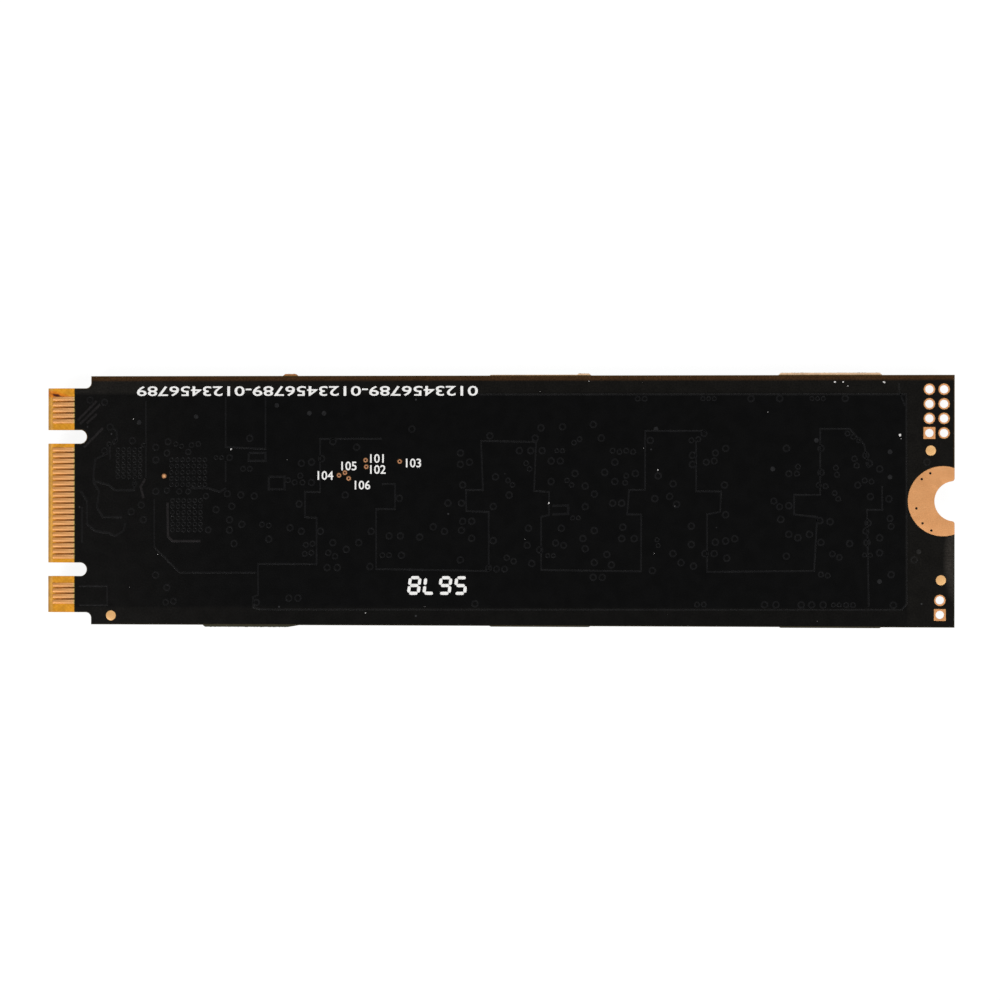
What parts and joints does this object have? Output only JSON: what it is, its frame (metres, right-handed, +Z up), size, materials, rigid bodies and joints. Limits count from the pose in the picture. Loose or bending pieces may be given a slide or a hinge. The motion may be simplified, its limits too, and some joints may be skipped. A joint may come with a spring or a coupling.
{
  "type": "gumstick solid state drive",
  "caption": "Long thin plug-in storage board with a keyed gold card edge, a half-round screw notch, a bare black back, and flat memory packages and a controller on its other face.",
  "frame": {"origin": "middle of the board's outline, at the height of the memory packages' faces that it rests on", "axes": "+X from the card edge towards the screw notch, +Y across the board, +Z up out of the bare back"},
  "size_m": [0.08, 0.0224, 0.002],
  "materials": {
    "laminate": "bare glass-fibre laminate, amber, matte",
    "solder_mask": "black solder mask, satin",
    "contact_gold": "gold plating, satin",
    "pad_gold": "gold flash over copper, satin",
    "package_mould": "black moulding compound, matte",
    "solder": "bright solder",
    "tinned_end": "tin plating, satin",
    "capacitor_ceramic": "brown ceramic, matte",
    "resistor_ceramic": "black overcoat, satin",
    "inductor_core": "pressed metal powder, dark grey, matte",
    "crystal_ceramic": "dark ceramic, matte",
    "crystal_metal": "plated lid, satin",
    "legend_ink": "white marking ink, matte"
  },
  "bodies": {
    "root": {"board_laminate": "laminate", "solder_mask_back": "solder_mask", "solder_mask_front": "solder_mask", "edge_contacts_back": "contact_gold", "edge_contacts_front": "contact_gold", "screw_pad_back": "pad_gold", "screw_pad_front": "pad_gold", "header_holes": "pad_gold", "jumper_holes": "pad_gold", "fiducial_pads": "pad_gold", "test_pads": "pad_gold", "controller": "package_mould", "controller_balls": "solder", "memory_package_1": "package_mould", "memory_package_2": "package_mould", "memory_package_3": "package_mould", "memory_package_4": "package_mould", "memory_balls_1": "solder", "memory_balls_2": "solder", "memory_balls_3": "solder", "memory_balls_4": "solder", "power_chip": "package_mould", "power_chip_leads": "solder", "power_inductors": "inductor_core", "power_inductor_ends": "tinned_end", "crystal_base": "crystal_ceramic", "crystal_lid": "crystal_metal", "memory_capacitors": "capacitor_ceramic", "memory_capacitor_ends": "tinned_end", "controller_capacitors": "capacitor_ceramic", "controller_capacitor_ends": "tinned_end", "bulk_capacitors": "capacitor_ceramic", "bulk_capacitor_ends": "tinned_end", "pull_resistors": "resistor_ceramic", "pull_resistor_ends": "tinned_end"}
  },
  "joints": []
}
